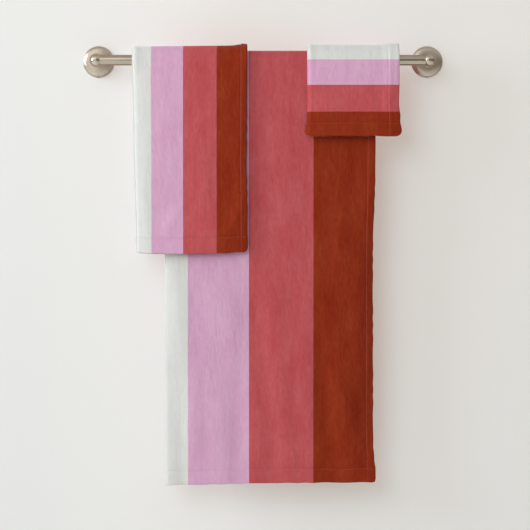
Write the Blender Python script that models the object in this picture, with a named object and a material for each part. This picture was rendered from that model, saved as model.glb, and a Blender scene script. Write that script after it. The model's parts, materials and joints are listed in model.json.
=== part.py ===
"""Three towels hung over a wall-mounted towel bar.

Frame, in metres: X runs along the bar, Y points into the wall, whose face is at Y = 0, and Z is up
from the bar's axis. X = 0 is midway between the two posts.
"""

import math
from dataclasses import dataclass

import bmesh
import bpy
from mathutils import Matrix

GAP = 0.0003  # left between pieces that touch

# Bar
POST_SPACING = 0.600
BAR_STANDOFF = 0.068  # wall to the bar's axis
TUBE_RADIUS = 0.0095
TUBE_WALL = 0.001
SOCKET_FLOOR = 0.002  # from the post's axis, along the bar
PLUG_FLANGE = 0.0009
PLUG_LENGTH = 0.010
PLUG_WALL = 0.0014

# Escutcheon and post
ROSE_RADIUS = 0.0285
ROSE_RIM = 0.0035  # the rim's thickness, which holds the set screw
ROSE_EDGE = 0.0062  # the rim's height off the wall
ROSE_HEIGHT = 0.012
ROSE_SHELL = 0.003
POST_FOOT = ROSE_HEIGHT + GAP  # wall to the post's foot
POST_FOOT_RADIUS = 0.0105
POST_WAIST_RADIUS = 0.0083
POST_HEAD_RADIUS = 0.0136

# Bracket and fasteners
BRACKET_RADIUS = 0.020
BRACKET_THICKNESS = 0.005
BRACKET_BEVEL = 0.0008
WALL_SCREW_OFFSET = 0.012  # above and below the post's axis
WALL_SCREW_SHANK = 0.0019
WALL_SCREW_HEAD = 0.0041
WALL_SCREW_TIP = 0.004
WALL_SCREW_DEPTH = 0.033  # into the wall
ANCHOR_RADIUS = 0.0032
ANCHOR_RIB = 0.0003
ANCHOR_RIBS = 4
ANCHOR_SET_BACK = 0.0025  # below the wall's face
ANCHOR_LENGTH = 0.027
POST_SCREW_SHANK = 0.0028
POST_SCREW_HEAD = 0.005
POST_SCREW_HEAD_HEIGHT = 0.0028
POST_SCREW_DEPTH = 0.011  # into the post
SET_SCREW_RADIUS = 0.0019
SET_SCREW_FROM_WALL = 0.003
SET_SCREW_INSET = 0.0006  # below the escutcheon's rim
DRIVE_RADIUS = 0.0016  # of the hexagonal socket in each screw
DRIVE_DEPTH = 0.0016

# Towels
CLOTH = 0.0035  # one layer
DOUBLED = 2 * CLOTH  # each towel is folded in half lengthwise before it is hung
HEM_SWELL = 0.001  # how much the turned hems stand out on their outer face
BEND_STEPS = 16

SIDES = 24  # of a turned piece
ROSE_SIDES = 40
SMALL_SIDES = 12

FINISHES = {  # colour, roughness, metallic
    "nickel": ((0.52, 0.47, 0.40), 0.28, 1.0),
    "zinc": ((0.55, 0.56, 0.58), 0.40, 1.0),
    "steel": ((0.50, 0.50, 0.52), 0.35, 1.0),
    "nylon": ((0.75, 0.75, 0.72), 0.50, 0.0),
    "cloth": ((0.45, 0.08, 0.09), 0.90, 0.0),
    "hem": ((0.24, 0.03, 0.012), 0.90, 0.0),
}


@dataclass(frozen=True)
class Towel:
    """A towel folded in half along its length, with the fold on the left, and hung over the bar."""

    name: str
    cut_width: float
    cut_length: float
    left: float  # X of the fold
    front_drop: float  # bar's axis to the front panel's lower edge
    inner_radius: float  # of the bend over the bar
    side_hem: float
    end_hem: float

    @property
    def folded_width(self):
        return self.cut_width / 2

    @property
    def outer_radius(self):
        return self.inner_radius + DOUBLED

    @property
    def back_drop(self):
        over_bar = math.pi * (self.inner_radius + CLOTH)
        return self.cut_length - self.front_drop - over_bar


TOWELS = (
    Towel("bath_towel", 0.762, 1.524, -0.1797, 0.763, 0.0100, 0.012, 0.023),
    Towel("hand_towel", 0.406, 0.762, -0.2315, 0.3465, 0.0175, 0.010, 0.026),
    Towel("washcloth", 0.330, 0.330, 0.0790, 0.138, 0.0205, 0.018, 0.022),
)


# Modelling tools


def clear_scene():
    for obj in list(bpy.data.objects):
        bpy.data.objects.remove(obj, do_unlink=True)


def make_material(name, finish):
    colour, roughness, metallic = FINISHES[finish]
    material = bpy.data.materials.new(name)
    material.use_nodes = True
    shader = material.node_tree.nodes["Principled BSDF"]
    shader.inputs["Base Color"].default_value = (*colour, 1.0)
    shader.inputs["Roughness"].default_value = roughness
    shader.inputs["Metallic"].default_value = metallic
    return material


def add_object(name, mesh, finish=None, parent=None):
    obj = bpy.data.objects.new(name, mesh)
    bpy.context.scene.collection.objects.link(obj)
    if finish and not mesh.materials:
        mesh.materials.append(make_material(name, finish))
    obj.parent = parent
    return obj


def finish_mesh(shape, name):
    bmesh.ops.recalc_face_normals(shape, faces=shape.faces)
    mesh = bpy.data.meshes.new(name)
    shape.to_mesh(mesh)
    shape.free()
    mesh.shade_smooth()
    mesh.set_sharp_from_angle(angle=math.radians(30))
    return mesh


def turned(name, profile, sides=SIDES):
    """Spins a profile of (radius, height) points round Z. A profile that starts and ends on the axis
    makes a solid piece, and any other is closed into a ring."""
    shape = bmesh.new()
    points = [shape.verts.new((radius, 0, height)) for radius, height in profile]
    edges = [shape.edges.new(pair) for pair in zip(points, points[1:])]
    if profile[0][0] > 0:
        edges.append(shape.edges.new((points[-1], points[0])))
    bmesh.ops.spin(
        shape, geom=points + edges, axis=(0, 0, 1), cent=(0, 0, 0), angle=math.tau, steps=sides
    )
    bmesh.ops.remove_doubles(shape, verts=shape.verts, dist=1e-6)
    return finish_mesh(shape, name)


def rod(name, radius, length, sides=SMALL_SIDES):
    """A plain cylinder from the origin up Z."""
    return turned(name, [(0, 0), (radius, 0), (radius, length), (0, length)], sides)


def extruded(name, outline, x_from, x_to):
    """A solid with an outline of (y, z) points, from one X to another."""
    shape = bmesh.new()
    face = shape.faces.new([shape.verts.new((x_from, y, z)) for y, z in outline])
    side = bmesh.ops.extrude_face_region(shape, geom=[face])
    moved = [v for v in side["geom"] if isinstance(v, bmesh.types.BMVert)]
    bmesh.ops.translate(shape, verts=moved, vec=(x_to - x_from, 0, 0))
    return finish_mesh(shape, name)


def arc(centre, radius, start, end, steps):
    """Points on a circle from one angle to another, both ends included."""
    angles = [start + (end - start) * i / steps for i in range(steps + 1)]
    return [(centre[0] + radius * math.cos(a), centre[1] + radius * math.sin(a)) for a in angles]


def cut(target, cutter, location, rotation=(0, 0, 0)):
    """Takes the cutter's shape out of the target. Its place is given in the target's own frame."""
    cutter.hide_render = True
    cutter.display_type = "WIRE"
    cutter.parent = target
    cutter.location = location
    cutter.rotation_euler = rotation
    boolean = target.modifiers.new(cutter.name, "BOOLEAN")
    boolean.operation = "DIFFERENCE"
    boolean.solver = "EXACT"
    boolean.object = cutter


def driven_screw(name, profile, top):
    """A screw turned from its profile, with a hexagonal socket in its flat top. It returns a mesh, so
    that several screws can share it."""
    screw = add_object(name, turned(name, profile, SMALL_SIDES), "steel")
    socket = add_object(f"{name}_socket", rod("socket", DRIVE_RADIUS, 2 * DRIVE_DEPTH, 6))
    cut(screw, socket, (0, 0, top - DRIVE_DEPTH))
    bpy.context.view_layer.update()
    graph = bpy.context.evaluated_depsgraph_get()
    mesh = bpy.data.meshes.new_from_object(screw.evaluated_get(graph))
    bpy.data.objects.remove(socket)
    bpy.data.objects.remove(screw)
    return mesh


def out_of_wall(x, z=0.0):
    """Lays a turned piece's axis along -Y, so that its heights count out from the wall."""
    return Matrix.Translation((x, 0, z)) @ Matrix.Rotation(math.pi / 2, 4, "X")


def along_bar(x, side):
    """Lays a turned piece's axis on the bar's, so that its heights count towards the bar's middle."""
    turn = Matrix.Rotation(-side * math.pi / 2, 4, "Y")
    return Matrix.Translation((x, -BAR_STANDOFF, 0)) @ turn


# Bar


def make_bracket(name, place):
    """The plate that is screwed to the wall, with countersunk holes for its two screws."""
    profile = [
        (0, 0),
        (BRACKET_RADIUS, 0),
        (BRACKET_RADIUS, BRACKET_THICKNESS - BRACKET_BEVEL),
        (BRACKET_RADIUS - BRACKET_BEVEL, BRACKET_THICKNESS),
        (0, BRACKET_THICKNESS),
    ]
    plate = add_object(name, turned(name, profile), "zinc")
    plate.matrix_world = place
    bore = WALL_SCREW_SHANK + GAP
    sink = WALL_SCREW_HEAD + GAP
    sink_top = BRACKET_THICKNESS - GAP
    past = 0.001
    hole = [
        (0, -past),
        (bore, -past),
        (bore, sink_top - (sink - bore)),
        (sink, sink_top),
        (sink, BRACKET_THICKNESS + past),
        (0, BRACKET_THICKNESS + past),
    ]
    for end, offset in (("upper", WALL_SCREW_OFFSET), ("lower", -WALL_SCREW_OFFSET)):
        cutter = add_object(f"{name}_{end}_hole", turned("hole", hole, SMALL_SIDES))
        cut(plate, cutter, (0, offset, 0))


def make_rose(name, place):
    """The domed escutcheon: a thick rim, an elliptical dome, and a flat seat for the post."""
    seat = POST_FOOT_RADIUS + 0.0015
    shoulder = ROSE_RADIUS - 0.002
    rise = ROSE_HEIGHT - ROSE_EDGE
    dome = [
        (seat + (shoulder - seat) * across, ROSE_EDGE + rise * up)
        for across, up in arc((0, 0), 1, 0, math.pi / 2, 7)
    ]
    inner = ROSE_RADIUS - ROSE_RIM
    hole = POST_SCREW_SHANK + GAP
    ceiling = ROSE_HEIGHT - ROSE_SHELL
    profile = [
        (inner, 0),
        (ROSE_RADIUS, 0),
        (ROSE_RADIUS, ROSE_EDGE - 0.002),
        (ROSE_RADIUS - 0.0007, ROSE_EDGE - 0.0006),
        *dome,
        (hole, ROSE_HEIGHT),
        (hole, ceiling),
        (seat, ceiling),
        (inner, ROSE_EDGE),
    ]
    cover = add_object(name, turned(name, profile, ROSE_SIDES), "nickel")
    cover.matrix_world = place
    bore = add_object(f"{name}_bore", rod("bore", SET_SCREW_RADIUS + GAP, 2 * ROSE_RIM))
    inside_rim = -(ROSE_RADIUS - 1.5 * ROSE_RIM)
    cut(cover, bore, (0, inside_rim, SET_SCREW_FROM_WALL), (math.pi / 2, 0, 0))


def make_post(name, place, side):
    """A waisted stem that ends in a ball, whose inner side holds the tube's socket."""
    ball = arc((0, BAR_STANDOFF), POST_HEAD_RADIUS, math.radians(-54), math.pi / 2, 10)
    profile = [
        (0, POST_FOOT),
        (POST_FOOT_RADIUS, POST_FOOT),
        (POST_FOOT_RADIUS, POST_FOOT + 0.0016),
        (POST_FOOT_RADIUS - 0.0014, POST_FOOT + 0.003),
        (POST_WAIST_RADIUS, POST_FOOT + 0.009),
        (POST_WAIST_RADIUS - 0.0005, POST_FOOT + 0.020),
        (POST_WAIST_RADIUS - 0.0002, POST_FOOT + 0.041),
        *ball[:-1],
        (0, BAR_STANDOFF + POST_HEAD_RADIUS),
    ]
    stem = add_object(name, turned(name, profile), "nickel")
    stem.matrix_world = place
    past = 0.001
    thread_mesh = rod("thread", POST_SCREW_SHANK + GAP, POST_SCREW_DEPTH + 2 * past)
    cut(stem, add_object(f"{name}_thread", thread_mesh), (0, 0, POST_FOOT - past))
    socket_mesh = rod("socket", TUBE_RADIUS + GAP, 2 * POST_HEAD_RADIUS, SIDES)
    socket = add_object(f"{name}_socket", socket_mesh)
    cut(stem, socket, (-side * SOCKET_FLOOR, 0, BAR_STANDOFF), (0, -side * math.pi / 2, 0))


def wall_screw_mesh():
    """A countersunk screw. Its heights count out from the wall's face."""
    top = BRACKET_THICKNESS - 2 * GAP
    cone = WALL_SCREW_HEAD - WALL_SCREW_SHANK
    profile = [
        (0, -WALL_SCREW_DEPTH),
        (WALL_SCREW_SHANK, -WALL_SCREW_DEPTH + WALL_SCREW_TIP),
        (WALL_SCREW_SHANK, top - cone),
        (WALL_SCREW_HEAD, top),
        (0, top),
    ]
    return driven_screw("wall_screw", profile, top)


def anchor_mesh():
    """A plastic plug with shallow ribs, open at both ends, just below the wall's face."""
    pitch = ANCHOR_LENGTH / ANCHOR_RIBS
    valley = ANCHOR_RADIUS - ANCHOR_RIB
    bore = WALL_SCREW_SHANK + GAP
    end = -ANCHOR_SET_BACK - ANCHOR_LENGTH
    outside = [(valley, end)]
    for rib in range(ANCHOR_RIBS):
        outside.append((ANCHOR_RADIUS, end + (rib + 0.7) * pitch))
        outside.append((valley, end + (rib + 1) * pitch))
    return turned("wall_anchor", [(bore, end), *outside, (bore, -ANCHOR_SET_BACK)], SMALL_SIDES)


def post_screw_mesh():
    """The machine screw that joins the post to its escutcheon from behind. Its heights count from
    the wall's face into the wall, so that its socket faces the wall."""
    seat = -(ROSE_HEIGHT - ROSE_SHELL - GAP)
    top = seat + POST_SCREW_HEAD_HEIGHT
    tip = -(POST_FOOT + POST_SCREW_DEPTH)
    profile = [
        (0, tip),
        (POST_SCREW_SHANK, tip),
        (POST_SCREW_SHANK, seat),
        (POST_SCREW_HEAD, seat),
        (POST_SCREW_HEAD, top),
        (0, top),
    ]
    return driven_screw("post_screw", profile, top)


def set_screw_mesh():
    """A grub screw up through the escutcheon's rim and against the bracket's edge. Its heights count
    down from the post's axis."""
    tip = BRACKET_RADIUS + GAP
    end = ROSE_RADIUS - SET_SCREW_INSET
    bevel = 0.0006
    profile = [
        (0, tip),
        (SET_SCREW_RADIUS - bevel, tip),
        (SET_SCREW_RADIUS, tip + bevel),
        (SET_SCREW_RADIUS, end),
        (0, end),
    ]
    return driven_screw("set_screw", profile, end)


def tube_plug_mesh():
    """A cupped plug with a thin flange that covers the tube's end, which is at height 0."""
    outside = TUBE_RADIUS - TUBE_WALL - GAP
    inside = outside - PLUG_WALL
    profile = [
        (0, -PLUG_FLANGE),
        (TUBE_RADIUS, -PLUG_FLANGE),
        (TUBE_RADIUS, -GAP),
        (outside, -GAP),
        (outside, PLUG_LENGTH),
        (inside, PLUG_LENGTH),
        (inside, PLUG_WALL),
        (0, PLUG_WALL),
    ]
    return turned("tube_plug", profile, SMALL_SIDES)


def make_bar():
    """The tube, and at each end its plug, its post with its escutcheon, and what fixes them."""
    half = POST_SPACING / 2 - SOCKET_FLOOR - GAP - PLUG_FLANGE
    inner = TUBE_RADIUS - TUBE_WALL
    profile = [(inner, -half), (TUBE_RADIUS, -half), (TUBE_RADIUS, half), (inner, half)]
    tube = add_object("bar_tube", turned("bar_tube", profile), "nickel")
    tube.matrix_world = along_bar(0, -1)

    wall_screw = wall_screw_mesh()
    anchor = anchor_mesh()
    post_screw = post_screw_mesh()
    set_screw = set_screw_mesh()
    plug = tube_plug_mesh()
    upside_down = Matrix.Rotation(math.pi, 4, "X")
    for hand, side in (("left", -1), ("right", 1)):
        x = side * POST_SPACING / 2
        place = out_of_wall(x)
        make_bracket(f"{hand}_wall_bracket", place)
        make_rose(f"{hand}_escutcheon", place)
        make_post(f"{hand}_post", place, side)
        fixings = [
            ("post_screw", post_screw, "steel", place @ upside_down),
            (
                "set_screw",
                set_screw,
                "steel",
                Matrix.Translation((x, -SET_SCREW_FROM_WALL, 0)) @ upside_down,
            ),
            ("tube_plug", plug, "nylon", along_bar(side * half, side)),
        ]
        for end, z in (("upper", WALL_SCREW_OFFSET), ("lower", -WALL_SCREW_OFFSET)):
            fixings.append((f"{end}_wall_screw", wall_screw, "steel", out_of_wall(x, z)))
            fixings.append((f"{end}_wall_anchor", anchor, "nylon", out_of_wall(x, z)))
        for piece, mesh, finish, where in fixings:
            add_object(f"{hand}_{piece}", mesh, finish).matrix_world = where


# Towels


def draped_outline(towel, front, back):
    """The doubled cloth's outline in (y, z) about the bar's axis, down to a depth in front and a depth
    behind. The front is towards -Y."""
    outer = arc((0, 0), towel.outer_radius, math.pi, 0, BEND_STEPS)
    inner = arc((0, 0), towel.inner_radius, 0, math.pi, BEND_STEPS)
    return [
        (-towel.inner_radius, -front),
        (-towel.outer_radius, -front),
        *outer,
        (towel.outer_radius, -back),
        (towel.inner_radius, -back),
        *inner,
    ]


def hem_outline(towel, side, drop):
    """The turned hem at a panel's lower edge. side is -1 for the front panel and 1 for the back."""
    near = side * towel.inner_radius
    face = side * towel.outer_radius
    swell = side * (towel.outer_radius + HEM_SWELL)
    top = -drop + towel.end_hem
    return [
        (near, -drop),
        (face, -drop),
        (swell, -drop + HEM_SWELL),
        (swell, top - HEM_SWELL),
        (face, top),
        (near, top),
    ]


def make_towel(towel):
    """The cloth and its hems hang from an empty on the bar's axis, along which the towel slides."""
    slide = add_object(f"{towel.name}_slide", None)
    half = towel.folded_width / 2
    slide.location = (towel.left + half, -BAR_STANDOFF, 0)
    drape = draped_outline(
        towel,
        towel.front_drop - towel.end_hem - GAP,
        towel.back_drop - towel.end_hem - GAP,
    )
    pieces = (
        ("cloth", drape, -half, half - towel.side_hem - GAP, "cloth"),
        ("side_hem", drape, half - towel.side_hem, half, "hem"),
        ("front_hem", hem_outline(towel, -1, towel.front_drop), -half, half, "hem"),
        ("back_hem", hem_outline(towel, 1, towel.back_drop), -half, half, "hem"),
    )
    for piece, outline, x_from, x_to, finish in pieces:
        name = f"{towel.name}_{piece}"
        add_object(name, extruded(name, outline, x_from, x_to), finish, slide)


def main():
    clear_scene()
    make_bar()
    for towel in TOWELS:
        make_towel(towel)


main()
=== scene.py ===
"""Looks for the towel set: three striped towels folded in half and hung over a brushed bar.

Every length is in metres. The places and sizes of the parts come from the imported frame. What is stated
here is how the cloth is cut, printed and sewn and how it falls, how the metal is finished, and the room.
"""

import json
import math
from dataclasses import dataclass

import bmesh
import bpy
import numpy as np
from mathutils import Matrix, Vector


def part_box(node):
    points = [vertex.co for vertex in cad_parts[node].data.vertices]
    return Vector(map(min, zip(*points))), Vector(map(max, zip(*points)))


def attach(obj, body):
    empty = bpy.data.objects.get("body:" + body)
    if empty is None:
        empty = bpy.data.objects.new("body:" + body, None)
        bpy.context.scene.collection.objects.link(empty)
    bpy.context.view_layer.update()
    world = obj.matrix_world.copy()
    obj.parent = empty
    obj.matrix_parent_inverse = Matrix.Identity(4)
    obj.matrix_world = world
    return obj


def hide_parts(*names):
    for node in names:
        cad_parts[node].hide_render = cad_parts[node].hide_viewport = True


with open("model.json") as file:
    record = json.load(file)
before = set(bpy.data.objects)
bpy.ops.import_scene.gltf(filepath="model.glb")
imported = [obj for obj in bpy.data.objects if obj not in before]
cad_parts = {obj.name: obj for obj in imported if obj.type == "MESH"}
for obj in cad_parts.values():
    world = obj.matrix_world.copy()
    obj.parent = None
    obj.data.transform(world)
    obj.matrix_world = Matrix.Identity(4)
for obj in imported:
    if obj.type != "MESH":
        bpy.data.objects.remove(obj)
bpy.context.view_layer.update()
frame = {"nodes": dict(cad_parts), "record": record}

# Cloth and hems
LAYER = 0.0034  # one layer of cloth
LAYER_GAP = 0.0002  # between the two layers of a folded towel
HEM_LIFT = 0.0010  # how much a turned hem stands above the cloth
HEM_STEP = 0.0008  # half the width of the step down from the hem to the cloth
HEM_BEAD = 0.0003  # the hem's inner edge stands a little higher
HEM_BEAD_IN = 0.0024  # how far that bead lies in from the step
HEM_BEAD_WIDTH = 0.0016
STITCH_DENT = 0.0003  # how deep the seam pulls into the cloth
STITCH_WIDTH = 0.0011
PUCKER = 0.0004
PUCKER_PITCH = 0.012
PUCKER_REACH = 0.010
PUCKER_EDGE = 0.004  # from the cut's edge, where the pucker is whole
CLOTH_STEP = 0.004  # between neighbouring places on a towel's mesh
LONG_CLOTH_STEP = 0.0054  # the same on a long towel
LONG_CLOTH = 1.0  # a towel cut longer than this is a long one
SEAM_STEP = 0.0008  # between neighbouring places at a seam
SEAM_STEPS = 3  # on each side of a seam

# Stitches
STITCH_PITCH = 0.0032
STITCH_LENGTH = 0.0025
STITCH_MARGIN = 0.002  # from the cut's edge to the first stitch
THREAD = 0.00034  # its radius
THREAD_PALER = 0.11
THREAD_SIDES = 6

# Fall of the cloth. A pair of shares or depths says where a smooth change starts and ends.
FOLD_REACH = 0.026  # how far from the fold a panel still turns away
FOLD_PUFF = 0.0012  # how much fuller a fold is where nothing lies on it
FOLD_PUFF_AT = 0.004  # from the fold
FOLD_PUFF_WIDTH = 0.006
FOLD_STRAY_REACH = 0.014  # how far from the fold its straying is felt
FREE_STRAY_REACH = 0.022  # the same for the free edge
CROWN_GROWS = (0.0, 0.12)
SEAT_FADES = (0.002, 0.016)  # past a hem's seam
TOP_SEAT_FADES = (0.03, 0.10)  # below the bar, on a towel that others lie on
EDGE_RIPPLE = 0.0004  # how far the cut edges wander
RIPPLE_GROWS = (0.1, 0.4)
INSET_GROWS = (0.02, 0.2)
LEVEL_GROWS = (0.45, 1.0)
CURL_REACH = 0.055  # how far in from the free edge the panel curls
CURL_PAST = 0.004  # how far beyond the free edge the curl would be whole
CURL_POWER = 1.5
BACK_CURL = 0.2  # of the front panel's curl
WAVE_PITCHES = (0.23, 0.13, 0.085, 0.055)
WAVES_GROW = (0.03, 0.6)
BACK_SEED = 50  # added to a towel's seed for the waves of its back panel
PRESSED_WAVES = 0.35  # share of the waves that is left where other towels lie on the cloth
PRESSED_FADES = 0.10  # how far below those towels the waves are whole again
HAND_TOWEL_ENDS = (0.115, 0.150)  # along the bar: past this the bath towel is covered by the washcloth alone

# Inks
WHITE = (0.735, 0.726, 0.702)
PINK = (0.700, 0.392, 0.575)
CORAL = (0.535, 0.094, 0.105)
BROWN = (0.285, 0.0295, 0.0080)
PALE_THREAD = (0.9, 0.88, 0.85)
TERRY = (0.78, 0.77, 0.74)
DEEPER_WHERE_DARKER = 1.5  # how fast an ink's colour rises in power, and so deepens, where the print is darker, from its painted crease shade and its uneven tone

# Metal and plastic
NICKEL = (0.62, 0.54, 0.44)
NICKEL_PAINTED_LIGHTER = (0.71, 0.625, 0.52)  # posts and escutcheons: a paler copy of the tube's nickel, painted light that makes them brighter
ZINC = (0.55, 0.56, 0.58)
STEEL = (0.50, 0.50, 0.52)
NYLON = (0.72, 0.72, 0.69)
SMOOTH_ANGLE = math.radians(35)  # edges sharper than this stay sharp
SATIN = (3500.0, 1.0, 1.0)  # how tightly the scratches are packed: rings, close together outwards
DRAWN = (60.0, 3500.0, 3500.0)  # scratches along the tube
TUBE_WALL = 0.001
SOCKET_DEPTH = 0.002  # from a post's axis to the bottom of its socket
SOCKET_REACH = 0.03  # far enough to leave the post's head
SOCKET_GAP = 0.0002  # round the tube
SET_SCREW_RADIUS = 0.0025
SET_SCREW_HOLE = ((-0.0028, -0.0235), (-0.0090, -0.0345))  # (out from the wall, up from the bar) at both ends

# Room
WALL_Y = 0.0002
FLOOR_Z = -1.25
WALL_PAINT = (0.50, 0.545, 0.565)
# Painted reflection: the metal mirrors the wall in this darker, warmer paint instead of the wall's own
WALL_PAINTED_REFLECTION = (0.42, 0.36, 0.30)
# Painted light: the wall glows to the camera and, weakly, in mirrors, brighter to the upper left and beside
# the towels
WALL_GLOW = (0.456, 0.385, 0.333)
WALL_GLOW_REACH = 1.0
WALL_GLOW_ALONG = (  # (place along the bar, strength)
    (-1.0, 0.73),
    (-0.45, 0.73),
    (-0.22, 0.90),
    (0.0, 0.82),
    (0.25, 0.81),
    (0.5, 0.82),
    (1.0, 0.80),
)
WALL_GLOW_UP = 0.11  # for each metre up
WALL_GLOW_UP_MOST = 0.1
WALL_GLOW_MIRRORED = 0.12  # of its strength to the camera
BACKDROP = (0.74, 0.73, 0.71)  # the floor, and what the camera sees past the wall
WINDOW_LIGHT = (0.92, 0.98, 1.0)
FRONT_LIGHT = (0.94, 0.98, 1.0)
METAL_LIGHT = (1.0, 0.98, 0.95)
ROOM_BY_HEIGHT = (  # (height of the direction, colour)
    (-1.0, (0.42, 0.39, 0.35)),
    (-0.75, (0.62, 0.58, 0.53)),
    (-0.50, (0.58, 0.54, 0.48)),
    (-0.26, (0.16, 0.135, 0.10)),
    (0.12, (0.15, 0.13, 0.10)),
    (0.36, (0.42, 0.40, 0.37)),
    (0.70, (0.54, 0.54, 0.53)),
    (1.0, (0.48, 0.47, 0.45)),
)


# Places, from the frame


def middle(node):
    low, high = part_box(node)
    return (low + high) / 2


BAR_AXIS = middle("bar_tube")
TUBE_RADIUS = (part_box("bar_tube")[1].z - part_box("bar_tube")[0].z) / 2


@dataclass
class Crease:
    """A soft ridge, or a valley where height is negative, in the front panel."""

    x: float  # its middle, from the fold
    depth: float  # its middle, down from the bar
    width: float
    length: float
    height: float
    tilt: float = 0.0  # how far it strays along the bar for each metre down

    def at(self, x, depth):
        across = (x - self.x - self.tilt * (depth - self.depth)) / self.width
        return self.height * np.exp(-(across**2) - ((depth - self.depth) / self.length) ** 2)


@dataclass
class Towel:
    """How one towel is cut, printed and hung. Shares run from 0 at the bar to 1 at the lower edge."""

    name: str
    cut: tuple  # flat width and length
    stripes: tuple  # where each colour ends, as a share of the printed direction
    striped_along_length: bool
    fold_stray: tuple  # (share, how far the fold strays along the bar)
    free_stray: tuple  # the same for the free edge
    back_inset: float  # how far the back panel's free edge lies in from the front one's
    curl: tuple  # (share, how far the free edge stands out from the bar)
    level: tuple  # how far the lower edge hangs below its place: fold, middle, free edge
    rise: tuple  # how far the top stands above its place: fold, middle, free edge
    roll: float  # how far the fold lies in towards the bar
    crown: float  # how far the middle of a panel stands out from its edges
    seat: float  # how far its hems lift the cloth off what it lies on
    shade: float  # painted light: its inks made lighter or darker, for how much light falls on this towel
    corner: float  # radius of the lower corners
    wave: float  # height of the soft waves in the lower panels
    covered: tuple  # depth down to which other towels lie on this one: by the fold, by the free edge
    seed: int
    creases: tuple

    def __post_init__(self):
        low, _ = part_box(f"{self.name}_cloth")
        _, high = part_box(f"{self.name}_side_hem")
        front_low, front_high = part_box(f"{self.name}_front_hem")
        back_low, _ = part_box(f"{self.name}_back_hem")
        self.left, self.right = low.x, high.x
        self.front_drop = BAR_AXIS.z - front_low.z
        self.back_drop = BAR_AXIS.z - back_low.z
        inner = BAR_AXIS.y - front_high.y
        outer = high.z - BAR_AXIS.z
        self.bend = (inner + outer) / 2
        self.side_hem = high.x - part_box(f"{self.name}_side_hem")[0].x
        self.end_hem = front_high.z - front_low.z


TOWELS = (
    Towel(
        "bath_towel",
        cut=(0.762, 1.524),
        stripes=(0.1424, 0.2955, 0.4398, 0.5602, 0.7045, 0.8576),
        striped_along_length=True,
        fold_stray=((0, 0), (0.5, 0.001), (1, 0.0015)),
        free_stray=((0, 0), (0.25, -0.0005), (0.45, -0.004), (0.9, -0.003), (1, 0.0015)),
        back_inset=0.008,
        curl=((0, 0), (0.3, -0.001), (0.5, -0.009), (0.85, -0.011), (0.95, -0.005), (1, 0.0005)),
        level=(0.0025, -0.0018, -0.0033),
        rise=(0.0, 0.0, 0.0),
        roll=0.0055,
        seat=0.0013,
        shade=0.965,
        crown=0.0,
        corner=0.004,
        wave=0.0033,
        covered=(0.35, 0.16),
        seed=3,
        creases=(
            Crease(0.120, 0.52, 0.016, 0.11, 0.0018, 0.02),
            Crease(0.142, 0.53, 0.012, 0.12, -0.0016, 0.03),
            Crease(0.262, 0.58, 0.013, 0.13, 0.0016),
            Crease(0.300, 0.50, 0.010, 0.09, -0.0014, -0.10),
            Crease(0.335, 0.26, 0.016, 0.07, 0.0014),
            Crease(0.318, 0.60, 0.012, 0.06, 0.0015, 0.35),
            Crease(0.300, 0.68, 0.012, 0.05, -0.0012, 0.45),
            Crease(0.055, 0.62, 0.014, 0.10, 0.0012, -0.12),
            Crease(0.075, 0.70, 0.010, 0.07, -0.0012, -0.12),
        ),
    ),
    Towel(
        "hand_towel",
        cut=(0.406, 0.762),
        stripes=(0.1320, 0.2793, 0.4210, 0.5790, 0.7207, 0.8680),
        striped_along_length=True,
        fold_stray=((0, -0.0020), (0.35, 0.0005), (1, 0.0050)),
        free_stray=((0, -0.0008), (0.5, -0.0018), (0.85, -0.0004), (1, -0.0002)),
        back_inset=0.004,
        curl=((0, 0.0008), (0.4, -0.0002), (0.8, 0.0008), (1, 0.001)),
        level=(-0.0025, -0.0005, -0.0045),
        rise=(-0.0003, 0.0012, 0.0018),
        roll=0.0,
        crown=0.0052,
        seat=0.0014,
        shade=1.0,
        corner=0.004,
        wave=0.0018,
        covered=(0, 0),
        seed=8,
        creases=(
            Crease(0.070, 0.29, 0.012, 0.035, 0.0016, -0.55),
            Crease(0.052, 0.16, 0.014, 0.08, 0.0009),
            Crease(0.185, 0.285, 0.012, 0.035, 0.0022, -0.40),
            Crease(0.125, 0.20, 0.014, 0.09, 0.0010, 0.05),
            Crease(0.020, 0.27, 0.010, 0.06, 0.0014, 0.10),
        ),
    ),
    Towel(
        "washcloth",
        cut=(0.330, 0.330),
        stripes=(0.1312, 0.2812, 0.4178, 0.5822, 0.7188, 0.8688),
        striped_along_length=False,
        fold_stray=((0, 0.001), (0.5, 0.0015), (0.75, 0.0005), (1, -0.003)),
        free_stray=((0, -0.001), (0.55, -0.0015), (0.8, 0.0005), (1, 0.0035)),
        back_inset=0.003,
        curl=((0, 0.0005), (0.6, 0.0), (1, 0.0015)),
        level=(-0.0025, -0.0030, -0.0025),
        rise=(0.0006, 0.0003, 0.0),
        roll=0.0,
        crown=0.0030,
        seat=0.0015,
        shade=1.04,
        corner=0.008,
        wave=0.0010,
        covered=(0, 0),
        seed=5,
        creases=(
            Crease(0.085, 0.135, 0.090, 0.022, 0.0035),
            Crease(0.118, 0.09, 0.012, 0.05, 0.0012, 0.2),
            Crease(0.040, 0.10, 0.014, 0.04, 0.0010, -0.2),
            Crease(0.148, 0.07, 0.006, 0.07, 0.0009),
        ),
    ),
)


# How a towel's flat cut is folded and hung


def smooth(value, low, high):
    """0 below low, 1 above high, and a smooth rise between them."""
    t = np.clip((value - low) / (high - low), 0, 1)
    return t * t * (3 - 2 * t)


def along_curve(curve, share):
    """A value that passes smoothly through the curve's (share, value) points."""
    total = np.full(np.shape(share), float(curve[0][1]))
    for (low, before), (high, after) in zip(curve, curve[1:]):
        total += (after - before) * smooth(share, low, high)
    return total


def across_towel(values, across):
    """A smooth bend through the values at the fold, the middle and the free edge."""
    fold, mid, free = values
    from_fold = fold * (1 - across) * (1 - 2 * across)
    return from_fold + mid * 4 * across * (1 - across) + free * across * (2 * across - 1)


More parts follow.
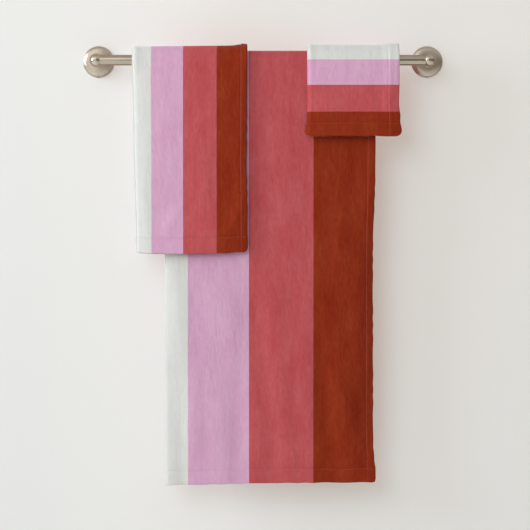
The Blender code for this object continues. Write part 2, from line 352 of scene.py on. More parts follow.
def wander(place, pitch, long_pitch, sway, start=0.0):
    """The small irregular ripple of a cut edge."""
    return EDGE_RIPPLE * np.sin(place / pitch + sway * np.sin(place / long_pitch + start))


def soft_waves(x, depth, seed, pitches):
    """A smooth field between about -1 and 1, of long waves that run down the cloth."""
    rng = np.random.default_rng(seed)
    total = np.zeros(np.broadcast(x, depth).shape)
    for pitch in pitches:
        phase, drift, beat = rng.uniform(0, math.tau), rng.uniform(-0.5, 0.5), rng.uniform(0.25, 0.6)
        lean = drift * depth / pitch * 0.35
        bend = 0.9 * np.sin(math.tau * depth / beat + phase)
        total += np.sin(math.tau * (x / pitch + lean) + phase + bend)
    return total / len(pitches)


def folded(towel, u, lift):
    """(x, n) of a point u across the cut, lift above the cloth's middle: n is the height over the
    plane between the two layers. u = 0 is the free edge of the outer layer."""
    c = (LAYER + LAYER_GAP) / 2
    run = towel.cut[0] / 2 - math.pi * c / 2
    turn = np.clip((u - run) / c, 0, math.pi)
    past = u - run - c * turn  # negative on the outer layer, positive on the inner one
    x = towel.right - run + np.abs(past) - (c + lift) * np.sin(turn)
    n = (c + lift) * np.cos(turn)
    puff = 0.0 if towel.covered[0] else FOLD_PUFF
    from_puff = (x - towel.left - FOLD_PUFF_AT) / FOLD_PUFF_WIDTH
    swell = np.where(n > 0, puff, 0.0) * np.exp(-(from_puff**2))
    return x, n + swell


def rounded(towel, x, s):
    """Rounds the lower corners of both panels: moves (x, s) near a corner onto its arc."""
    radius = towel.corner
    length = towel.cut[1]
    for x_edge, x_sign in ((towel.left, 1), (towel.right, -1)):
        for s_edge, s_sign in ((0, 1), (length, -1)):
            a = np.clip(radius - x_sign * (x - x_edge), 0, radius)
            b = np.clip(radius - s_sign * (s - s_edge), 0, radius)
            far = np.hypot(a, b)
            scale = np.where((a > 0) & (b > 0), np.maximum(a, b) / np.maximum(far, 1e-9), 1)
            x = x + x_sign * a * (1 - scale)
            s = s + s_sign * b * (1 - scale)
    return x, s


def relief(towel, x, depth, share, is_front):
    """How far the panel stands out from its flat place, at a point along the bar and down from it.
    A towel that lies on another bulges outwards, and one that is covered is pressed inwards there."""
    front = soft_waves(x, depth, towel.seed, WAVE_PITCHES)
    back = soft_waves(x, depth, towel.seed + BACK_SEED, WAVE_PITCHES)
    waves = np.where(is_front, front, back) * towel.wave
    dents = sum(crease.at(x - towel.left, depth) for crease in towel.creases) * is_front
    near_free = smooth(x, towel.right - CURL_REACH, towel.right + CURL_PAST) ** CURL_POWER
    curl = along_curve(towel.curl, share) * near_free * np.where(is_front, 1.0, BACK_CURL)
    growth = smooth(share, *WAVES_GROW)
    if not towel.covered[0]:
        return growth * (0.5 * (towel.wave + waves) + dents) + curl
    across = smooth(x, *HAND_TOWEL_ENDS)
    covered = towel.covered[0] * (1 - across) + towel.covered[1] * across
    free = smooth(depth, covered, covered + PRESSED_FADES)
    pressed = np.minimum(dents, 0) - PRESSED_WAVES * (towel.wave + waves)
    return growth * (free * (waves + dents) + (1 - free) * pressed) + curl


def fullness(towel, x, depth, share, is_front):
    """How far the crown stands out, the fold lies in and the hems lift the cloth."""
    near_free = np.exp(-(towel.right - x) / FREE_STRAY_REACH)
    bank = (1 - np.clip((x - towel.left) / FOLD_REACH, 0, 1)) ** 2
    crown = towel.crown * (1 - bank) * (1 - near_free) - towel.roll * bank
    from_side_seam = towel.right - towel.side_hem - x
    drop = np.where(is_front, towel.front_drop, towel.back_drop)
    from_end_seam = drop * (1 - share) - towel.end_hem
    seat = towel.seat * (1 - smooth(np.minimum(from_side_seam, from_end_seam), *SEAT_FADES))
    if towel.covered[0]:
        seat = seat * (1 - smooth(depth, *TOP_SEAT_FADES))
    return crown * smooth(share, *CROWN_GROWS), seat


def hung(towel, u, v, lift):
    """Points in the frame of the flat cut's (u, v), lift above the cloth's middle on its printed side.
    v = 0 is the lower edge of the front panel."""
    x, n = folded(towel, u, lift)
    x, s = rounded(towel, x, v)
    across = np.clip((x - towel.left) / (towel.right - towel.left), 0, 1)
    over = math.pi * towel.bend
    turn = np.clip((s - towel.front_drop) / towel.bend, 0, math.pi)
    front = towel.front_drop - s
    back = s - towel.front_drop - over
    is_front = front > back
    depth = np.maximum(np.maximum(front, back), 0)
    share = depth / np.where(is_front, towel.front_drop, towel.back_drop)
    near_fold = np.exp(-(x - towel.left) / FOLD_STRAY_REACH)
    near_free = np.exp(-(towel.right - x) / FREE_STRAY_REACH)
    crown, seat = fullness(towel, x, depth, share, is_front)
    n = n + relief(towel, x, depth, share, is_front) + crown + seat

    x = x + along_curve(towel.fold_stray, share) * near_fold
    ripple = wander(depth, 0.0062, 0.019, 2.2) * smooth(share, *RIPPLE_GROWS)
    inset = np.where(is_front, 0, towel.back_inset) * smooth(share, *INSET_GROWS)
    x = x + (along_curve(towel.free_stray, share) + ripple - inset) * near_free
    level = across_towel(towel.level, across) + wander(x, 0.0071, 0.023, 2.0, towel.seed)
    hanging = depth + level * smooth(share, *LEVEL_GROWS) * (depth > 0)

    radius = towel.bend + n
    y = BAR_AXIS.y - np.cos(turn) * radius
    z = BAR_AXIS.z + np.sin(turn) * (radius + across_towel(towel.rise, across)) - hanging
    return np.stack([x, y, z], axis=-1)


# Cloth, with its hems


def stations(length, seams, step):
    """Places along a length, closer together at the seams."""
    places = list(np.linspace(0, length, round(length / step) + 1))
    clear = (SEAM_STEPS + 0.2) * SEAM_STEP
    for seam in seams:
        places = [p for p in places if abs(p - seam) > clear or p in (0, length)]
        places += [seam + k * SEAM_STEP for k in range(-SEAM_STEPS, SEAM_STEPS + 1)]
    return np.array(sorted(p for p in places if 0 <= p <= length))


def print_side(towel, u, v):
    """Height of the printed side above the cloth's middle, at (u, v) on the cut."""
    width, length = towel.cut
    from_side = np.minimum(u, width - u)
    from_end = np.minimum(v, length - v)
    height = np.full(np.broadcast(u, v).shape, LAYER / 2)
    lift = np.zeros_like(height)
    for distance, hem, along in ((from_side, towel.side_hem, v), (from_end, towel.end_hem, u)):
        turned_in = 1 - smooth(distance, hem - HEM_STEP, hem + HEM_STEP)
        bead = HEM_BEAD * np.exp(-(((distance - hem + HEM_BEAD_IN) / HEM_BEAD_WIDTH) ** 2))
        lift = np.maximum(lift, HEM_LIFT * turned_in + bead)
        height = height - STITCH_DENT * np.exp(-(((distance - hem - HEM_STEP) / STITCH_WIDTH) ** 2))
        pull = np.exp(-np.abs(distance - hem) / PUCKER_REACH) * smooth(distance, 0, PUCKER_EDGE)
        uneven = 1.7 * np.sin(along / 0.031)
        fading = 0.6 + 0.4 * np.sin(along / 0.047)
        height = height + PUCKER * pull * np.sin(math.tau * along / PUCKER_PITCH + uneven) * fading
    return height + lift


def cloth_mesh(towel):
    """A towel as one closed skin: the printed side, the reverse and the rounded edges between them."""
    width, length = towel.cut
    step = LONG_CLOTH_STEP if length > LONG_CLOTH else CLOTH_STEP
    u = stations(width, (towel.side_hem, width - towel.side_hem), step)
    v = stations(length, (towel.end_hem, length - towel.end_hem), step)
    quarter = np.radians([30, 60, 90])

    # Rows: past each end the two sides close on a half round.
    half = LAYER / 2
    rows = np.concatenate([-half * np.sin(quarter[::-1]), v, length + half * np.sin(quarter)])
    flat = np.concatenate([np.cos(quarter[::-1]), np.ones(len(v)), np.cos(quarter)])

    # The ring round the cloth's section: the printed side, an edge, the reverse and the other edge.
    edge = np.radians([30, 60, 90, 120, 150])
    ring_u = np.concatenate([u, np.full(len(edge), width), u[::-1], np.zeros(len(edge))])
    level, out = np.zeros(len(u)), half * np.sin(edge)
    ring_out = np.concatenate([level, out, level, -out])
    ring_side = np.concatenate([np.ones(len(u)), np.cos(edge), -np.ones(len(u)), -np.cos(edge)])
    printed = print_side(towel, ring_u[None, :], np.clip(rows, 0, length)[:, None])
    thick = np.where(ring_side[None, :] > 0, printed, half)
    lift = ring_side[None, :] * thick * flat[:, None]
    across = ring_u[None, :] + ring_out[None, :] * flat[:, None]
    points = hung(towel, across, np.broadcast_to(rows[:, None], lift.shape), lift)

    count, around = lift.shape
    index = np.arange(count * around).reshape(count, around)
    a, b = index[:-1], np.roll(index[:-1], -1, axis=1)
    c, d = np.roll(index[1:], -1, axis=1), index[1:]
    quads = np.stack([a, d, c, b], axis=-1).reshape(-1, 4)
    mesh = bpy.data.meshes.new(towel.name)
    mesh.from_pydata(points.reshape(-1, 3), [], quads)
    reverse = np.zeros((count - 1, around), np.int32)
    first = len(u) + len(edge)
    reverse[:, first : first + len(u) - 1] = 1
    mesh.polygons.foreach_set("material_index", reverse.reshape(-1))
    places = np.stack(
        [
            np.broadcast_to(np.clip(across, 0, width) / width, lift.shape),
            np.broadcast_to(np.clip(rows, 0, length)[:, None] / length, lift.shape),
        ],
        axis=-1,
    ).reshape(-1, 2)
    add_uv(mesh, places)
    close_ends(mesh)
    return mesh


def add_uv(mesh, places):
    """Gives each point of a mesh its place on the flat cut, as shares of the cut's sides."""
    corners = np.zeros(len(mesh.loops), np.int32)
    mesh.loops.foreach_get("vertex_index", corners)
    layer = mesh.uv_layers.new(name="cut")
    layer.data.foreach_set("uv", places[corners].reshape(-1).astype(np.float32))


def close_ends(mesh):
    """Joins the points that meet along the two end edges."""
    shape = bmesh.new()
    shape.from_mesh(mesh)
    bmesh.ops.remove_doubles(shape, verts=shape.verts, dist=1e-6)
    bmesh.ops.recalc_face_normals(shape, faces=shape.faces)
    shape.to_mesh(mesh)
    shape.free()
    mesh.shade_smooth()


def stitch_runs(length, steps):
    """Places along a seam of this length: a row for each stitch."""
    starts = np.arange(STITCH_MARGIN, length - 2 * STITCH_MARGIN, STITCH_PITCH)
    return starts[:, None] + STITCH_LENGTH * steps


def stitch_mesh(towel):
    """Short raised threads along every hem's seam, on the printed side."""
    width, length = towel.cut
    steps = np.linspace(0, 1, 5)
    lines = []
    for u in (towel.side_hem, width - towel.side_hem):
        runs = stitch_runs(length, steps)
        lines.append((np.full(runs.shape, u), runs))
    for v in (towel.end_hem, length - towel.end_hem):
        runs = stitch_runs(width, steps)
        lines.append((runs, np.full(runs.shape, v)))
    u = np.concatenate([line[0] for line in lines])
    v = np.concatenate([line[1] for line in lines])
    arch = np.sin(math.pi * steps) * THREAD * 1.6 - THREAD * 0.5
    lift = print_side(towel, u, v) + arch
    centre = hung(towel, u, v, lift)
    normal = hung(towel, u, v, lift + 1e-4) - centre
    normal /= np.linalg.norm(normal, axis=-1, keepdims=True)
    along = np.gradient(centre, axis=1)
    along /= np.linalg.norm(along, axis=-1, keepdims=True)
    beside = np.cross(along, normal)
    turns = np.radians(np.arange(THREAD_SIDES) * 360 / THREAD_SIDES)
    girth = THREAD * np.sqrt(np.clip(np.sin(math.pi * (0.04 + 0.92 * steps)), 0.05, 1))
    girth = girth[None, :, None, None]
    ring = (
        centre[:, :, None]
        + girth * np.cos(turns)[None, None, :, None] * beside[:, :, None]
        + girth * np.sin(turns)[None, None, :, None] * normal[:, :, None]
    )
    index = np.arange(len(u) * len(steps) * THREAD_SIDES).reshape(len(u), len(steps), THREAD_SIDES)
    a, b = index[:, :-1], np.roll(index[:, :-1], -1, axis=2)
    c, d = np.roll(index[:, 1:], -1, axis=2), index[:, 1:]
    quads = np.stack([a, b, c, d], axis=-1).reshape(-1, 4)
    ends = np.concatenate([index[:, 0, ::-1], index[:, -1]])
    mesh = bpy.data.meshes.new(f"{towel.name}_stitching")
    mesh.from_pydata(ring.reshape(-1, 3), [], [*quads.tolist(), *ends.tolist()])
    places = np.stack([u / width, v / length], axis=-1)
    add_uv(mesh, np.repeat(places.reshape(-1, 2), THREAD_SIDES, axis=0))
    mesh.shade_smooth()
    return mesh


# Materials


class Nodes:
    """A material's node tree, with short calls to add and join nodes."""

    def __init__(self, name):
        self.material = bpy.data.materials.new(name)
        self.material.use_nodes = True
        self.tree = self.material.node_tree
        self.shader = self.tree.nodes["Principled BSDF"]
        self.output = self.tree.nodes["Material Output"]

    def add(self, kind, **settings):
        node = self.tree.nodes.new(kind)
        for key, value in settings.items():
            setattr(node, key, value)
        return node

    def link(self, out, into):
        self.tree.links.new(out, into)

    def finish(self, **values):
        """Sets the shader's plain values, each named with _ for a space."""
        for name, value in values.items():
            self.shader.inputs[name.replace("_", " ")].default_value = value

    def surface(self, colour, normal):
        self.link(colour, self.shader.inputs["Base Color"])
        self.link(normal, self.shader.inputs["Normal"])

    def value(self, socket, value):
        if isinstance(value, bpy.types.NodeSocket):
            self.link(value, socket)
        else:
            socket.default_value = value

    def mapping(self, source, scale):
        node = self.add("ShaderNodeMapping")
        self.link(source, node.inputs["Vector"])
        node.inputs["Scale"].default_value = scale
        return node.outputs["Vector"]

    def noise(self, vector, scale, detail=2.0, roughness=0.5):
        node = self.add("ShaderNodeTexNoise")
        self.link(vector, node.inputs["Vector"])
        node.inputs["Scale"].default_value = scale
        node.inputs["Detail"].default_value = detail
        node.inputs["Roughness"].default_value = roughness
        return node.outputs["Fac"]

    def ranged(self, value, low, high):
        """A noise's usual range, 0.25 to 0.75, made low to high."""
        node = self.add("ShaderNodeMapRange")
        self.link(value, node.inputs["Value"])
        node.inputs["From Min"].default_value = 0.25
        node.inputs["From Max"].default_value = 0.75
        node.inputs["To Min"].default_value = low
        node.inputs["To Max"].default_value = high
        return node.outputs["Result"]

    def math(self, operation, a, b):
        node = self.add("ShaderNodeMath", operation=operation)
        self.value(node.inputs[0], a)
        self.value(node.inputs[1], b)
        return node.outputs[0]

    def shaded(self, colour, factor):
        """A colour made lighter or darker by a factor."""
        node = self.add("ShaderNodeMix", data_type="RGBA", blend_type="MULTIPLY")
        node.inputs["Factor"].default_value = 1.0
        self.value(node.inputs["A"], colour)
        self.value(node.inputs["B"], factor)
        return node.outputs["Result"]

    def bump(self, height, distance, strength=1.0, normal=None):
        node = self.add("ShaderNodeBump")
        self.link(height, node.inputs["Height"])
        node.inputs["Distance"].default_value = distance
        node.inputs["Strength"].default_value = strength
        if normal:
            self.link(normal, node.inputs["Normal"])
        return node.outputs["Normal"]


def fill_ramp(ramp, stops):
    """Gives a colour ramp these (place, colour) stops."""
    elements = ramp.color_ramp.elements
    elements.remove(elements[1])
    elements[0].position = stops[0][0]
    elements[0].color = (*stops[0][1], 1)
    for place, colour in stops[1:]:
        elements.new(place).color = (*colour, 1)


def stripes(nodes, towel):
    """The print: flat stripes of colour with sharp edges, placed on the cut."""
    uv = nodes.add("ShaderNodeUVMap", uv_map="cut")
    split = nodes.add("ShaderNodeSeparateXYZ")
    nodes.link(uv.outputs["UV"], split.inputs["Vector"])
    ramp = nodes.add("ShaderNodeValToRGB")
    nodes.link(split.outputs["X" if towel.striped_along_length else "Y"], ramp.inputs["Fac"])
    ramp.color_ramp.interpolation = "CONSTANT"
    inks = (BROWN, CORAL, PINK, WHITE, PINK, CORAL, BROWN)
    # Painted light: each towel's inks are scaled by its shade
    colours = [tuple(towel.shade * part for part in ink) for ink in inks]
    fill_ramp(ramp, list(zip((0, *towel.stripes), colours)))
    return ramp.outputs["Color"], uv.outputs["UV"]


def print_material(towel):
    """Brushed microfibre: the print, with painted shade in the valleys of its small creases and mottle, whose
    noise also bumps the cloth, and an uneven tone from the lie of the nap; its darker places are also deeper
    in colour."""
    nodes = Nodes(f"{towel.name}_print")
    colour, uv = stripes(nodes, towel)
    width, length = towel.cut
    cut = nodes.mapping(uv, (width, length, 1.0))
    clouds = nodes.noise(nodes.mapping(cut, (30.0, 11.0, 1.0)), 1.0, 2.0, 0.5)
    creases = nodes.noise(nodes.mapping(cut, (85.0, 26.0, 1.0)), 1.0, 3.0, 0.55)
    mottle = nodes.noise(nodes.mapping(cut, (210.0, 90.0, 1.0)), 1.0, 3.0, 0.6)
    nap = nodes.noise(cut, 1100.0, 2.0, 0.7)
    # Painted shade: the print is darker where the crease and mottle bumps dip, as they share this noise; the
    # clouds give an uneven tone.
    tone = nodes.math("MULTIPLY", nodes.ranged(creases, 0.965, 1.035), nodes.ranged(mottle, 0.96, 1.04))
    tone = nodes.math("MULTIPLY", tone, nodes.ranged(clouds, 0.95, 1.05))
    deeper = nodes.add("ShaderNodeGamma")
    nodes.link(colour, deeper.inputs["Color"])
    darkness = nodes.math("MULTIPLY", nodes.math("SUBTRACT", 1.0, tone), DEEPER_WHERE_DARKER)
    nodes.link(nodes.math("ADD", darkness, 1.0), deeper.inputs["Gamma"])
    printed = nodes.shaded(deeper.outputs["Color"], nodes.ranged(nap, 0.965, 1.035))
    soft = nodes.bump(creases, 0.0016, 0.8)
    soft = nodes.bump(mottle, 0.0005, 0.7, soft)
    nodes.surface(printed, nodes.bump(nap, 0.00025, 0.35, soft))
    nodes.finish(Roughness=0.95, Specular_IOR_Level=0.12, Sheen_Weight=0.05, Sheen_Roughness=0.5)
    return nodes.material


def thread_material(towel):
    """Sewing thread in the print's colours, a little paler, with a twist."""
    nodes = Nodes(f"{towel.name}_thread")
    colour, uv = stripes(nodes, towel)
    cut = nodes.mapping(uv, (towel.cut[0], towel.cut[1], 1.0))
    twist = nodes.noise(cut, 2600.0, 2.0, 0.6)
    paler = nodes.add("ShaderNodeMix", data_type="RGBA")
    paler.inputs["Factor"].default_value = THREAD_PALER
    nodes.link(colour, paler.inputs["A"])
    paler.inputs["B"].default_value = (*PALE_THREAD, 1)
    thread = nodes.shaded(paler.outputs["Result"], nodes.ranged(twist, 0.9, 1.08))
    nodes.surface(thread, nodes.bump(twist, 0.0001, 0.6))
    nodes.finish(Roughness=0.6, Specular_IOR_Level=0.3)
    return nodes.material


def terry_material(towel):
    """The unprinted reverse: white cotton loops."""
    nodes = Nodes(f"{towel.name}_terry")
    uv = nodes.add("ShaderNodeUVMap", uv_map="cut")
    cut = nodes.mapping(uv.outputs["UV"], (towel.cut[0], towel.cut[1], 1.0))
    loops = nodes.add("ShaderNodeTexVoronoi", feature="SMOOTH_F1")
    nodes.link(cut, loops.inputs["Vector"])
    loops.inputs["Scale"].default_value = 620.0
    height = loops.outputs["Distance"]
    cotton = nodes.shaded((*TERRY, 1), nodes.ranged(height, 1.0, 0.86))
    nodes.surface(cotton, nodes.bump(height, 0.0008, 0.9))
    nodes.finish(Roughness=1.0, Specular_IOR_Level=0.1, Sheen_Weight=0.1)
    return nodes.material


def metal_material(name, colour, roughness, stretch, lathe=None):
    """Brushed metal: fine scratches that follow one axis, or that circle a turned piece's centre."""
    nodes = Nodes(name)
    where = nodes.add("ShaderNodeTexCoord").outputs["Object"]
    if lathe:
        shift = nodes.add("ShaderNodeVectorMath", operation="SUBTRACT")
        nodes.link(where, shift.inputs[0])
        shift.inputs[1].default_value = lathe
        flat = nodes.mapping(shift.outputs["Vector"], (1.0, 0.0, 1.0))
        reach = nodes.add("ShaderNodeVectorMath", operation="LENGTH")
        nodes.link(flat, reach.inputs[0])
        rings = nodes.add("ShaderNodeCombineXYZ")
        nodes.link(reach.outputs["Value"], rings.inputs["X"])
        scratches = nodes.noise(nodes.mapping(rings.outputs["Vector"], stretch), 1.0, 4.0, 0.65)
    else:
        scratches = nodes.noise(nodes.mapping(where, stretch), 1.0, 4.0, 0.65)
    cloudy = nodes.noise(where, 70.0, 3.0)
    tone = nodes.math("MULTIPLY", nodes.ranged(scratches, 0.93, 1.05), nodes.ranged(cloudy, 0.95, 1.04))
    nodes.surface(nodes.shaded((*colour, 1), tone), nodes.bump(scratches, 0.00002, 0.4))
    nodes.finish(Metallic=1.0)
    worn = nodes.ranged(cloudy, roughness - 0.02, roughness + 0.04)
    rough = nodes.math("ADD", nodes.ranged(scratches, -0.03, 0.05), worn)
    nodes.link(rough, nodes.shader.inputs["Roughness"])
    return nodes.material


def plastic_material(name, colour, roughness):
    """Moulded plastic with a fine grain."""
    nodes = Nodes(name)
    where = nodes.add("ShaderNodeTexCoord").outputs["Object"]
    grain = nodes.noise(where, 900.0, 3.0)
    moulded = nodes.shaded((*colour, 1), nodes.ranged(grain, 0.96, 1.03))
    nodes.surface(moulded, nodes.bump(grain, 0.00005, 0.5))
    nodes.finish(Roughness=roughness)
    return nodes.material


# Bar


def turned(name, profile, sides=96):
    """Spins a profile of (radius, height) points round Z."""
    shape = bmesh.new()
    points = [shape.verts.new((radius, 0, height)) for radius, height in profile]
    edges = [shape.edges.new(pair) for pair in zip(points, points[1:])]
    if profile[0][0] > 0:
        edges.append(shape.edges.new((points[-1], points[0])))
    bmesh.ops.spin(
        shape, geom=points + edges, axis=(0, 0, 1), cent=(0, 0, 0), angle=math.tau, steps=sides
    )
    bmesh.ops.remove_doubles(shape, verts=shape.verts, dist=1e-7)
    bmesh.ops.recalc_face_normals(shape, faces=shape.faces)
    mesh = bpy.data.meshes.new(name)
    shape.to_mesh(mesh)
    shape.free()
    mesh.shade_smooth()
    mesh.set_sharp_from_angle(angle=SMOOTH_ANGLE)
    return mesh


def show(name, mesh, materials, body):
    """Puts a mesh in the scene as a piece that rides on a body."""
    obj = bpy.data.objects.new(name, mesh)
    bpy.context.scene.collection.objects.link(obj)
    for material in materials:
        mesh.materials.append(material)
    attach(obj, body)
    return obj


def hang_towels():
    """Each towel is one sheet, which stands for its four CAD solids, and its stitching."""
    solids = ("cloth", "side_hem", "front_hem", "back_hem")
    for towel in TOWELS:
        name = towel.name
        faces = (print_material(towel), terry_material(towel))
        sheet = show(f"{name}_sheet", cloth_mesh(towel), faces, name)
        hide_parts(*[f"{name}_{solid}" for solid in solids])
        thread = (thread_material(towel),)
        stitching = show(f"{name}_stitching", stitch_mesh(towel), thread, name)


def bend_of(centre, radii, start, end, count):
    """Points (across, up) on part of an ellipse."""
    angles = np.linspace(start, end, count)
    return [
        (centre[0] + radii[0] * math.cos(a), centre[1] + radii[1] * math.sin(a)) for a in angles
    ]


def bored(obj, radius, start, end):
    """Cuts a round hole between two points."""
    start, end = Vector(start), Vector(end)
    mesh = bpy.data.meshes.new("bore")
    shape = bmesh.new()
    bmesh.ops.create_cone(
        shape, cap_ends=True, segments=64, radius1=radius, radius2=radius, depth=(end - start).length
    )
    shape.to_mesh(mesh)
    shape.free()
    tool = bpy.data.objects.new("bore", mesh)
    bpy.context.scene.collection.objects.link(tool)
    tool.location = (start + end) / 2
    tool.rotation_euler = (end - start).to_track_quat("Z", "Y").to_euler()
    cut = obj.modifiers.new("bore", "BOOLEAN")
    cut.operation = "DIFFERENCE"
    cut.solver = "EXACT"
    cut.object = tool
    bpy.context.view_layer.update()
    graph = bpy.context.evaluated_depsgraph_get()
    mesh = bpy.data.meshes.new_from_object(obj.evaluated_get(graph))
    obj.modifiers.clear()
    old, obj.data = obj.data, mesh
    mesh.name = old.name
    bpy.data.meshes.remove(old)
    bpy.data.objects.remove(tool)
    mesh.shade_smooth()
    mesh.set_sharp_from_angle(angle=SMOOTH_ANGLE)


def out_of_wall(name, mesh, axis_x):
    """Places a turned mesh so that its Z axis points out of the wall, with its base on the wall."""
    outwards = Matrix.Rotation(math.pi / 2, 4, "X")
    mesh.transform(Matrix.Translation((axis_x, 0, BAR_AXIS.z)) @ outwards)
    obj = bpy.data.objects.new(name, mesh)
    bpy.context.scene.collection.objects.link(obj)
    return obj


def escutcheon_mesh(name, low, high):
    """The domed cover: a rim with a soft edge, a dome, and a hollow back with a hole for the post's screw."""
    radius, height = (high.x - low.x) / 2, -low.y
    edge, soft, seat, shell = 0.0062, 0.0020, 0.0105, 0.003
    rim = bend_of((radius - soft, edge - soft), (soft, soft), 0, math.pi / 2 * 0.8, 6)
    start = rim[-1]
    dome = bend_of((seat, start[1]), (start[0] - seat, height - start[1]), 0, math.pi / 2, 28)[1:]
    inside = [(0.0031, height), (0.0031, height - shell), (seat, height - shell), (radius - 0.0035, edge)]
    return turned(name, [(radius - 0.0035, 0), (radius, 0), *rim, *dome, *inside])


def post_mesh(name, low, high):
    """The waisted stem and its ball."""
    ball = (high.x - low.x) / 2
    axis = -BAR_AXIS.y
    foot = -high.y
    reach = ball - 0.0001
    waist = [(0.0105, 0.0016), (0.0102, 0.0022), (0.0094, 0.0029), (0.0087, 0.0060), (0.0083, 0.009)]
    waist += [(0.0079, 0.0145), (0.0078, 0.020), (0.0078, 0.030), (0.0081, 0.041)]
    neck = [(r, foot + h) for r, h in waist]
    head = bend_of((0, axis), (reach, reach), -math.radians(52), math.pi / 2, 40)[:-1]
    return turned(name, [(0, foot), (0.0105, foot), *neck, *head, (0, axis + reach)])


def finish_mounts():
    """Finer escutcheons and posts. Each pair shares the escutcheon's axis."""
    for side, inward in (("left", 1), ("right", -1)):
        axis_x = middle(f"{side}_escutcheon").x
        start = Vector((axis_x + inward * SOCKET_DEPTH, BAR_AXIS.y, BAR_AXIS.z))
        socket = (TUBE_RADIUS + SOCKET_GAP, start, start + Vector((inward * SOCKET_REACH, 0, 0)))
        ends = [(axis_x, y, BAR_AXIS.z + up) for y, up in SET_SCREW_HOLE]
        for kind, build, roughness, bore in (
            ("escutcheon", escutcheon_mesh, 0.32, (SET_SCREW_RADIUS, *ends)),
            ("post", post_mesh, 0.20, socket),
        ):
            node = f"{side}_{kind}"
            name = f"{node}_turned"
            obj = out_of_wall(name, build(name, *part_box(node)), axis_x)
            bored(obj, *bore)
            lathe = (axis_x, 0, BAR_AXIS.z)
            # Painted light: the posts and escutcheons take a paler nickel than the tube
            metal = metal_material(f"{node}_nickel", NICKEL_PAINTED_LIGHTER, roughness, SATIN, lathe)
            obj.data.materials.clear()
            obj.data.materials.append(metal)
            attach(obj, "towel_bar")
            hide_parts(node)


def finish_tube():
    """The bar's tube, finer and hollow."""
    low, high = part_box("bar_tube")
    length, bore = high.x - low.x, TUBE_RADIUS - TUBE_WALL
    mesh = turned("tube", [(bore, 0), (TUBE_RADIUS, 0), (TUBE_RADIUS, length), (bore, length)], 128)
    along_bar = Matrix.Rotation(math.pi / 2, 4, "Y")
    mesh.transform(Matrix.Translation((low.x, BAR_AXIS.y, BAR_AXIS.z)) @ along_bar)
    metal = metal_material("tube_nickel", NICKEL, 0.13, DRAWN)
    tube = show("tube", mesh, (metal,), "towel_bar")
    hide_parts("bar_tube")


def finish_fixings():
    """Better materials for the fixings that keep their own shapes."""
    by_slot = {
        "zinc_plate": metal_material("zinc_plate", ZINC, 0.4, (600.0, 600.0, 600.0)),
        "screw_steel": metal_material("screw_steel", STEEL, 0.32, (900.0, 900.0, 900.0)),
        "nylon": plastic_material("nylon", NYLON, 0.5),
    }
    for part in frame["record"]["subparts"]:
        if part["material_slot"] in by_slot:
            for slot in frame["nodes"][part["node"]].material_slots:
                slot.material = by_slot[part["material_slot"]]


# Room


def add_camera():
    """A long lens square to the wall. It stands a little high and aims slightly down."""
    camera = bpy.data.cameras.new("camera")
    camera.lens = 148
    camera.sensor_width = 36
    obj = bpy.data.objects.new("camera", camera)
    bpy.context.scene.collection.objects.link(obj)
    obj.location = (0.004, -4.0, -0.195)
    aim = Vector((0.004, 0, -0.3718))
    obj.rotation_euler = (aim - obj.location).to_track_quat("-Z", "Y").to_euler()
    bpy.context.scene.camera = obj


def area_light(name, location, aim, size, power, colour=(1, 1, 1)):
    """A rectangular lamp that faces aim. Its power is in watts."""
    light = bpy.data.lights.new(name, "AREA")
    light.shape = "RECTANGLE"
    light.size, light.size_y = size
    light.energy = power
    light.color = colour
    obj = bpy.data.objects.new(name, light)
    bpy.context.scene.collection.objects.link(obj)
    obj.location = location
    obj.rotation_euler = (Vector(aim) - obj.location).to_track_quat("-Z", "Y").to_euler()
    return obj


def stage_plane(name, corners, colour):
    """A flat stage surface in soft matt paint: (the object, its nodes)."""
    mesh = bpy.data.meshes.new(name)
    mesh.from_pydata(corners, [], [(0, 1, 2, 3)])
    nodes = Nodes(name)
    where = nodes.add("ShaderNodeTexCoord").outputs["Object"]
    grain = nodes.noise(where, 180.0, 3.0)
    nodes.shader.inputs["Base Color"].default_value = (*colour, 1)
    nodes.shader.inputs["Roughness"].default_value = 0.9
    nodes.shader.inputs["Specular IOR Level"].default_value = 0.1
    nodes.link(nodes.bump(grain, 0.0004, 0.15), nodes.shader.inputs["Normal"])
    mesh.materials.append(nodes.material)
    obj = bpy.data.objects.new(name, mesh)
    bpy.context.scene.collection.objects.link(obj)
    return obj, nodes


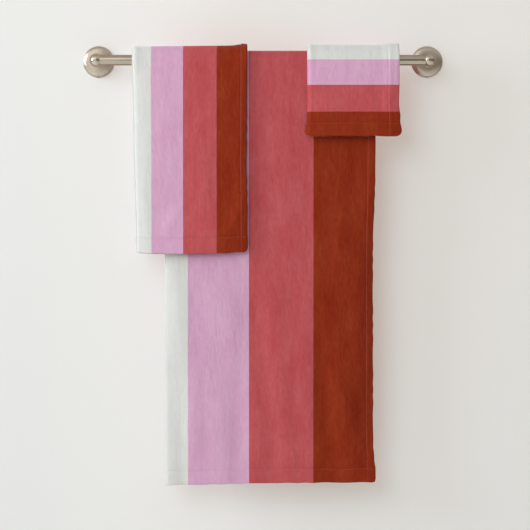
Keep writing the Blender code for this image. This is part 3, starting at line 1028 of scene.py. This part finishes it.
def glow(nodes):
    """Painted light: the wall glows to the camera, and faintly in mirrors, in place of the bounced light of a
    white room. It is brighter to the upper left, so that shadows stay pale.
    """
    place = nodes.add("ShaderNodeSeparateXYZ")
    nodes.link(nodes.add("ShaderNodeTexCoord").outputs["Object"], place.inputs["Vector"])
    along = nodes.add("ShaderNodeMapRange")
    nodes.link(place.outputs["X"], along.inputs["Value"])
    along.inputs["From Min"].default_value = -WALL_GLOW_REACH
    along.inputs["From Max"].default_value = WALL_GLOW_REACH
    ramp = nodes.add("ShaderNodeValToRGB")
    nodes.link(along.outputs["Result"], ramp.inputs["Fac"])
    ramp.color_ramp.interpolation = "B_SPLINE"
    fill_ramp(ramp, [((x / WALL_GLOW_REACH + 1) / 2, (level,) * 3) for x, level in WALL_GLOW_ALONG])
    up = nodes.math("MULTIPLY", place.outputs["Z"], WALL_GLOW_UP)
    up = nodes.math("MAXIMUM", up, -WALL_GLOW_UP_MOST)
    level = nodes.math("ADD", ramp.outputs["Color"], nodes.math("MINIMUM", up, WALL_GLOW_UP_MOST))
    path = nodes.add("ShaderNodeLightPath")
    mirrored = nodes.math("MULTIPLY", path.outputs["Is Glossy Ray"], WALL_GLOW_MIRRORED)
    seen = nodes.math("ADD", path.outputs["Is Camera Ray"], mirrored)
    nodes.link(nodes.math("MULTIPLY", level, seen), nodes.shader.inputs["Emission Strength"])
    nodes.shader.inputs["Emission Color"].default_value = (*WALL_GLOW, 1)
    # Painted reflection: mirrors see the wall in a darker, warmer paint than the camera does
    paint_and_painted_reflection = nodes.add("ShaderNodeMix", data_type="RGBA")
    nodes.link(path.outputs["Is Glossy Ray"], paint_and_painted_reflection.inputs["Factor"])
    paint_and_painted_reflection.inputs["A"].default_value = (*WALL_PAINT, 1)
    paint_and_painted_reflection.inputs["B"].default_value = (*WALL_PAINTED_REFLECTION, 1)
    nodes.link(paint_and_painted_reflection.outputs["Result"], nodes.shader.inputs["Base Color"])


def see_through_from_behind(nodes):
    """The back of the wall is clear, so that views from behind show the object's back."""
    clear = nodes.add("ShaderNodeBsdfTransparent")
    behind = nodes.add("ShaderNodeNewGeometry").outputs["Backfacing"]
    mix = nodes.add("ShaderNodeMixShader")
    nodes.link(behind, mix.inputs["Fac"])
    nodes.link(nodes.shader.outputs["BSDF"], mix.inputs[1])
    nodes.link(clear.outputs["BSDF"], mix.inputs[2])
    nodes.link(mix.outputs["Shader"], nodes.output.inputs["Surface"])


def build_room():
    """The wall, which casts no shadow so that the lamp behind it reaches the object's back, and a floor."""
    left, right, top, front, back = -4.0, 4.0, 2.5, -6.0, 4.0
    upright = [(left, FLOOR_Z), (right, FLOOR_Z), (right, top), (left, top)]
    wall, nodes = stage_plane("wall", [(x, WALL_Y, z) for x, z in upright], WALL_PAINT)
    glow(nodes)
    see_through_from_behind(nodes)
    wall.visible_shadow = False
    level = [(left, front), (right, front), (right, back), (left, back)]
    stage_plane("floor", [(x, y, FLOOR_Z) for x, y in level], BACKDROP)


def light_world():
    """A pale room that is darker at eye level, which gives the metal its dark bands."""
    world = bpy.data.worlds.new("room")
    bpy.context.scene.world = world
    world.use_nodes = True
    tree = world.node_tree
    direction = tree.nodes.new("ShaderNodeTexCoord").outputs["Generated"]
    split = tree.nodes.new("ShaderNodeSeparateXYZ")
    tree.links.new(direction, split.inputs["Vector"])
    height = tree.nodes.new("ShaderNodeMapRange")
    height.inputs["From Min"].default_value = -1.0
    tree.links.new(split.outputs["Z"], height.inputs["Value"])
    ramp = tree.nodes.new("ShaderNodeValToRGB")
    tree.links.new(height.outputs["Result"], ramp.inputs["Fac"])
    ramp.color_ramp.interpolation = "EASE"
    fill_ramp(ramp, [((z + 1) / 2, colour) for z, colour in ROOM_BY_HEIGHT])
    seen = tree.nodes.new("ShaderNodeMix")
    seen.data_type = "RGBA"
    tree.links.new(tree.nodes.new("ShaderNodeLightPath").outputs["Is Camera Ray"], seen.inputs["Factor"])
    tree.links.new(ramp.outputs["Color"], seen.inputs["A"])
    seen.inputs["B"].default_value = (*BACKDROP, 1)
    background = tree.nodes["Background"]
    tree.links.new(seen.outputs["Result"], background.inputs["Color"])
    background.inputs["Strength"].default_value = 1.0


def light_room():
    """Daylight from the left, a broad fill that the metal doesn't mirror, a lamp for views from behind,
    and one that only the metal mirrors."""
    bpy.context.scene.view_settings.view_transform = "Standard"
    light_world()
    towels = (0, 0, -0.35)
    area_light("window", (-2.7, -1.15, 0.55), towels, size=(1.0, 1.6), power=42, colour=WINDOW_LIGHT)
    front = area_light("front", (-1.6, -4.2, 1.3), towels, size=(2.4, 2.4), power=74, colour=FRONT_LIGHT)
    front.visible_glossy = False
    area_light("back", (0.6, 1.8, 0.8), (0, 0, -0.3), size=(2.0, 2.0), power=42)
    left_post = (-0.3, 0, 0)
    sheen = area_light("metal_left", (-0.78, -1.5, 0.45), left_post, (1.0, 1.9), 4.0, METAL_LIGHT)
    sheen.visible_camera = False
    sheen.visible_diffuse = False


add_camera()
build_room()
light_room()
finish_mounts()
finish_tube()
finish_fixings()
hang_towels()
